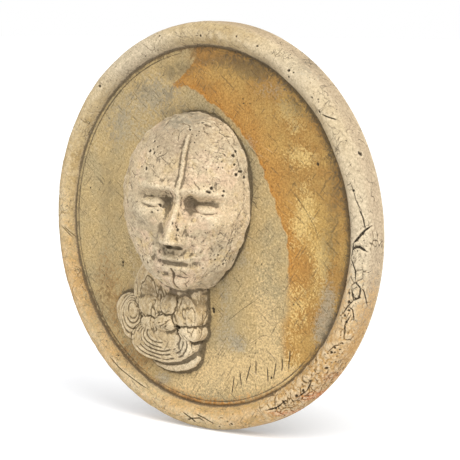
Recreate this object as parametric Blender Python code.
"""Relief roundel: a round fired-clay wall plaque with a head in high relief.

One solid body: a round slab with a sunk field, a rounded bead rim with a thin
fillet at its foot, a life-size mask-like head that turns to one side, its neck,
and a collar of ribbed shells and petals below.

Frame: metres, +Z up. The origin is the centre of the flat back, the back lies in
the plane y = 0, and the front faces -Y. X runs to the viewer's right.
"""

import math

import bmesh
import bpy
import numpy as np

# Slab and rim
ROUNDEL_RADIUS = 0.250
FIELD_THICKNESS = 0.028
RIM_THICKNESS = 0.0385
RIM_WIDTH = 0.0295
RIM_ROUNDING = 0.0165
BACK_CHAMFER = 0.002
FILLET_WIDTH = 0.0045
FILLET_RISE = 0.0014
GROOVE_WIDTH = 0.0024
GROOVE_DEPTH = 0.0016

# Figure: the head's full height drives every other length of the figure
HEAD_HEIGHT = 0.221
HEAD_CENTRE_X = -0.0105
HEAD_CENTRE_Z = 0.031
HEAD_LIFT = 0.008
HEAD_YAW = math.radians(22.0)
HEAD_ROLL = math.radians(6.5)
UNDERCUT = 0.0045

# Facets
RIM_FACETS = 72
BEAD_FACETS = 12
HEAD_SPOKES = 68
HEAD_RINGS = 25

# Share of the field's thickness at which the relief's hidden root is bedded
BED_SHARE = 0.45

CLAY_COLOUR = (0.56, 0.44, 0.30, 1.0)
CLAY_ROUGHNESS = 0.85


def clear_scene():
    for item in list(bpy.data.objects):
        bpy.data.objects.remove(item, do_unlink=True)


def clay_material():
    material = bpy.data.materials.new("fired_clay")
    material.use_nodes = True
    shader = material.node_tree.nodes["Principled BSDF"]
    shader.inputs["Base Color"].default_value = CLAY_COLOUR
    shader.inputs["Roughness"].default_value = CLAY_ROUGHNESS
    shader.inputs["Metallic"].default_value = 0.0
    return material


def smooth_step(value):
    value = np.clip(value, 0.0, 1.0)
    return value * value * (3.0 - 2.0 * value)


def slab_profile():
    """Half section from the field to the back, as (radius, height before the back)."""
    bead_centre = ROUNDEL_RADIUS - 0.5 * RIM_WIDTH
    foot = ROUNDEL_RADIUS - RIM_WIDTH
    bead_base = RIM_THICKNESS - RIM_ROUNDING
    groove_floor = FIELD_THICKNESS - GROOVE_DEPTH
    fillet_crest = FIELD_THICKNESS + FILLET_RISE
    fillet_outer = foot - GROOVE_WIDTH
    fillet_inner = fillet_outer - FILLET_WIDTH
    points = [
        (fillet_inner - GROOVE_WIDTH, FIELD_THICKNESS),
        (fillet_inner - 0.4 * GROOVE_WIDTH, groove_floor),
        (fillet_inner + 0.3 * FILLET_WIDTH, fillet_crest),
        (fillet_outer - 0.3 * FILLET_WIDTH, fillet_crest),
        (fillet_outer + 0.5 * GROOVE_WIDTH, groove_floor),
    ]
    foot_angle = math.pi - math.asin((FIELD_THICKNESS - bead_base) / RIM_ROUNDING)
    for step in range(BEAD_FACETS + 1):
        angle = foot_angle * (1.0 - step / BEAD_FACETS)
        radius = bead_centre + 0.5 * RIM_WIDTH * math.cos(angle)
        points.append((radius, bead_base + RIM_ROUNDING * math.sin(angle)))
    points.append((ROUNDEL_RADIUS, BACK_CHAMFER))
    points.append((ROUNDEL_RADIUS - BACK_CHAMFER, 0.0))
    return points


def ring_body(name, rings, pole=None):
    """Closed body from rings of points, with a pole or a flat face at the front.

    Every ring has as many points as the others, in the same turning order, and
    the last ring is closed by a flat face.
    """
    mesh = bpy.data.meshes.new(name)
    build = bmesh.new()
    loops = [[build.verts.new(point) for point in ring] for ring in rings]
    count = len(loops[0])
    if pole is None:
        build.faces.new(loops[0])
    else:
        top = build.verts.new(pole)
        for index in range(count):
            build.faces.new((top, loops[0][index], loops[0][(index + 1) % count]))
    for upper, lower in zip(loops, loops[1:]):
        for index in range(count):
            following = (index + 1) % count
            build.faces.new((upper[index], lower[index], lower[following], upper[following]))
    build.faces.new(reversed(loops[-1]))
    bmesh.ops.triangulate(build, faces=list(build.faces))
    bmesh.ops.recalc_face_normals(build, faces=list(build.faces))
    build.to_mesh(mesh)
    build.free()
    body = bpy.data.objects.new(name, mesh)
    bpy.context.scene.collection.objects.link(body)
    return body


def slab():
    """Round slab with its field, fillet and bead rim."""
    turns = [2.0 * math.pi * step / RIM_FACETS for step in range(RIM_FACETS)]
    rings = []
    for radius, height in slab_profile():
        rings.append([(radius * math.cos(a), -height, radius * math.sin(a)) for a in turns])
    return ring_body("slab", rings)


def egg_half_width(z):
    """Half width of the head's egg-shaped outline, in head heights."""
    half_width = 0.400
    fullness_at_top = 0.20
    return half_width * (1.0 + fullness_at_top * z)


def egg_radius(x, z):
    """0 on the head's middle, 1 on its outline."""
    return np.sqrt((x / egg_half_width(z)) ** 2 + (2.0 * z) ** 2)


def face_form(x, z):
    """Height of the mask in front of its own rim plane, in head heights.

    x runs to the viewer's right and z up from the middle of the head. The face
    follows the usual studio canon: eyes halfway up, the nose ending midway
    between brow and chin, the mouth a third of the way from nose to chin.
    """
    side = np.abs(x)

    def bump(centre_x, centre_z, reach_x, reach_z, rise):
        return rise * np.exp(-(((side - centre_x) / reach_x) ** 2) - ((z - centre_z) / reach_z) ** 2)

    edge = np.clip(egg_radius(x, z), 0.0, 1.0)
    form = 0.285 * np.sqrt(1.0 - edge**2.7)

    relief = bump(0.0, 0.27, 0.17, 0.14, 0.010)
    relief += bump(0.150, 0.090, 0.105, 0.032, 0.024)
    relief += bump(0.0, 0.080, 0.060, 0.040, 0.014)
    relief -= bump(0.140, 0.010, 0.085, 0.050, 0.052)
    relief -= bump(0.064, 0.000, 0.028, 0.045, 0.026)
    relief += bump(0.146, -0.004, 0.064, 0.034, 0.036)
    relief += bump(0.215, -0.050, 0.085, 0.060, 0.024)
    relief -= bump(0.205, -0.220, 0.080, 0.090, 0.014)
    relief -= bump(0.320, 0.130, 0.070, 0.120, 0.016)

    along = smooth_step((0.035 - z) / 0.235)
    nose = (0.012 + 0.092 * along) * np.exp(-((side / (0.032 + 0.026 * along)) ** 2.0))
    nose *= 1.0 - smooth_step((-0.200 - z) / 0.030)
    nose *= smooth_step((0.110 - z) / 0.080)
    relief += nose
    relief += bump(0.056, -0.196, 0.028, 0.026, 0.042)

    relief += bump(0.0, -0.310, 0.150, 0.095, 0.028)
    lips = np.clip(1.0 - (side / 0.125) ** 2, 0.0, 1.0)
    parting = -0.312 + 0.30 * side**2
    relief += 0.018 * lips * np.exp(-(((z - parting - 0.023) / 0.018) ** 2))
    relief += 0.024 * lips * np.exp(-(((z - parting + 0.030) / 0.022) ** 2))
    relief -= 0.018 * np.sqrt(lips) * np.exp(-(((z - parting) / 0.009) ** 2))
    relief -= bump(0.0, -0.388, 0.080, 0.020, 0.012)
    relief += bump(0.0, -0.432, 0.100, 0.050, 0.060)
    relief += bump(0.180, -0.370, 0.085, 0.070, 0.022)

    return form + relief * np.sqrt(1.0 - edge**4)


def bed_levels():
    """Heights of the hidden root's upper and lower ends inside the slab."""
    upper = BED_SHARE * FIELD_THICKNESS
    return upper, upper * 2.0 / 3.0


def head_to_roundel(x, z, depth):
    """Turn the mask's own frame, in head heights, to its place on the roundel."""
    across = math.cos(HEAD_ROLL) * x + math.sin(HEAD_ROLL) * z
    upward = math.cos(HEAD_ROLL) * z - math.sin(HEAD_ROLL) * x
    forward = math.cos(HEAD_YAW) * depth - math.sin(HEAD_YAW) * across
    sideways = math.cos(HEAD_YAW) * across + math.sin(HEAD_YAW) * depth
    return (
        HEAD_CENTRE_X + HEAD_HEIGHT * sideways,
        FIELD_THICKNESS + HEAD_LIFT + HEAD_HEIGHT * forward,
        HEAD_CENTRE_Z + HEAD_HEIGHT * upward,
    )


def undercut_share(height):
    """How far the edge of the head is cut in, from 0 on its lip to 1 at the field."""
    return smooth_step((FIELD_THICKNESS + 1.2 * UNDERCUT - height) / (1.2 * UNDERCUT))


def head():
    """Mask-like head, bedded in the slab, its edge undercut where it meets the field."""
    bed_top, bed_bottom = bed_levels()
    turns = np.linspace(0.0, 2.0 * math.pi, HEAD_SPOKES, endpoint=False)
    nose_z = -0.100
    outline_z = 0.5 * np.sin(turns)
    outline_x = egg_half_width(outline_z) * np.cos(turns)
    rings = []
    for step in range(1, HEAD_RINGS + 1):
        share = step / HEAD_RINGS
        share = 0.45 * share + 0.55 * math.sin(0.5 * math.pi * share)
        x = share * outline_x
        z = nose_z + share * (outline_z - nose_z)
        rings.append(head_to_roundel(x, z, face_form(x, z)))
    rim_x, rim_height, rim_z = rings[-1]
    rings.append((rim_x, 0.5 * (np.maximum(rim_height, bed_top) + bed_top), rim_z))
    rings.append((rim_x, np.full(HEAD_SPOKES, bed_top), rim_z))

    centre_x, _, centre_z = head_to_roundel(0.0, 0.0, 0.0)
    shaped = []
    for x, height, z in rings:
        reach = np.hypot(x - centre_x, z - centre_z)
        pull = 1.0 - UNDERCUT * undercut_share(height) / reach
        x = centre_x + pull * (x - centre_x)
        z = centre_z + pull * (z - centre_z)
        shaped.append(list(zip(x, -np.maximum(height, bed_top), z)))
    root = [(x, -bed_bottom, z) for x, _, z in shaped[-1]]
    pole_x, pole_height, pole_z = head_to_roundel(0.0, nose_z, face_form(0.0, nose_z))
    return ring_body("head", shaped + [root], pole=(pole_x, -pole_height, pole_z))


# Neck, shells and petals. Lengths are in head heights, from the head's middle:
# centre, half sizes, and how far the middle and the edge stand above the field.
# A shell's umbo is where its ribs begin, in shares of its half sizes.
COLLAR = {
    "neck": {"centre": (-0.178, -0.520), "half": (0.245, 0.217), "peak": 0.113, "edge": 0.072,
             "bulge": 3.0, "rings": 4, "spokes": 28},
    "neck_wall": {"centre": (0.030, -0.600), "half": (0.036, 0.139), "peak": 0.100, "edge": 0.081,
                  "bulge": 4.0, "rings": 2, "spokes": 14},
    "side_edge": {"centre": (-0.493, -0.660), "half": (0.112, 0.112), "peak": 0.034, "edge": 0.023,
                  "bulge": 4.0, "rings": 2, "spokes": 24},
    "side_shell": {"centre": (-0.459, -0.684), "half": (0.106, 0.135), "umbo": (0.55, 0.50),
                   "peak": 0.092, "edge": 0.041, "bulge": 1.8, "rings": 3, "spokes": 28,
                   "ribs": 5, "rib_depth": 0.0040},
    "fan_lip": {"centre": (-0.164, -0.875), "half": (0.187, 0.088), "peak": 0.054, "edge": 0.036,
                "bulge": 4.0, "rings": 3, "spokes": 32},
    "fan_shell": {"centre": (-0.213, -0.797), "half": (0.240, 0.124), "umbo": (0.10, 0.62),
                  "peak": 0.118, "edge": 0.063, "bulge": 1.8, "rings": 3, "spokes": 36,
                  "ribs": 7, "rib_depth": 0.0045},
    "petal_upper": {"centre": (-0.247, -0.601), "half": (0.091, 0.059), "turn": -8.0, "peak": 0.131,
                    "edge": 0.090, "bulge": 4.0, "rings": 3, "spokes": 12},
    "petal_left": {"centre": (-0.271, -0.687), "half": (0.055, 0.037), "peak": 0.136,
                   "edge": 0.100, "bulge": 4.0, "rings": 3, "spokes": 12},
    "petal_middle": {"centre": (-0.148, -0.674), "half": (0.075, 0.048), "peak": 0.149,
                     "edge": 0.109, "bulge": 4.0, "rings": 3, "spokes": 12},
    "petal_fold": {"centre": (-0.118, -0.584), "half": (0.067, 0.050), "turn": 18.0, "peak": 0.140,
                   "edge": 0.109, "bulge": 4.0, "rings": 3, "spokes": 12},
    "petal_right": {"centre": (-0.008, -0.620), "half": (0.077, 0.089), "peak": 0.127,
                    "edge": 0.095, "bulge": 4.0, "rings": 3, "spokes": 14},
    "petal_shield": {"centre": (0.006, -0.722), "half": (0.057, 0.048), "turn": -20.0, "peak": 0.122,
                     "edge": 0.090, "bulge": 4.0, "rings": 3, "spokes": 12},
    "petal_end": {"centre": (-0.023, -0.810), "half": (0.054, 0.058), "peak": 0.098,
                  "edge": 0.063, "bulge": 4.0, "rings": 3, "spokes": 12},
}


def dome(
    name, centre, half, peak, edge, rings, spokes, bulge, turn=0.0, umbo=(0.0, 0.0), ribs=0, rib_depth=0.0
):
    """Low dome on the field, whose outer part may carry ribs that spread from its umbo.

    bulge sets how full the dome is between its highest point, the umbo, and its edge.
    """
    turn = math.radians(turn)
    plain_share = 0.30 if ribs else 1.0
    shares = [(plain_share * step / rings, 0.0) for step in range(1, rings + 1)]
    for step in range(1, 2 * ribs + 1):
        ridge = rib_depth if step % 2 else -rib_depth
        shares.append((plain_share + (1.0 - plain_share) * step / (2 * ribs), ridge))

    def place(share, ridge, angle):
        along = half[0] * (share * math.cos(angle) + (1.0 - share) * umbo[0])
        across = half[1] * (share * math.sin(angle) + (1.0 - share) * umbo[1])
        x = math.cos(turn) * along - math.sin(turn) * across
        z = math.sin(turn) * along + math.cos(turn) * across
        rise = edge + (peak - edge) * (1.0 - share**bulge) + ridge
        return (
            HEAD_CENTRE_X + HEAD_HEIGHT * (centre[0] + x),
            -(FIELD_THICKNESS + HEAD_HEIGHT * rise),
            HEAD_CENTRE_Z + HEAD_HEIGHT * (centre[1] + z),
        )

    angles = [2.0 * math.pi * step / spokes for step in range(spokes)]
    loops = [[place(share, ridge, angle) for angle in angles] for share, ridge in shares]
    for level in bed_levels():
        loops.append([(x, -level, z) for x, _, z in loops[-1]])
    return ring_body(name, loops, pole=place(0.0, 0.0, 0.0))


def join_solids(base, others):
    """Boolean union of overlapping bodies into the base."""
    for other in others:
        union = base.modifiers.new(other.name, "BOOLEAN")
        union.operation = "UNION"
        union.solver = "EXACT"
        union.object = other
        other.hide_render = True
        other.display_type = "WIRE"


def main():
    clear_scene()
    roundel = slab()
    reliefs = [head()]
    for name, measures in COLLAR.items():
        reliefs.append(dome(name, **measures))
    join_solids(roundel, reliefs)
    roundel.name = "relief_roundel"
    roundel.data.materials.append(clay_material())
    roundel.data.shade_smooth()
    roundel.data.set_sharp_from_angle(angle=math.radians(35.0))


main()
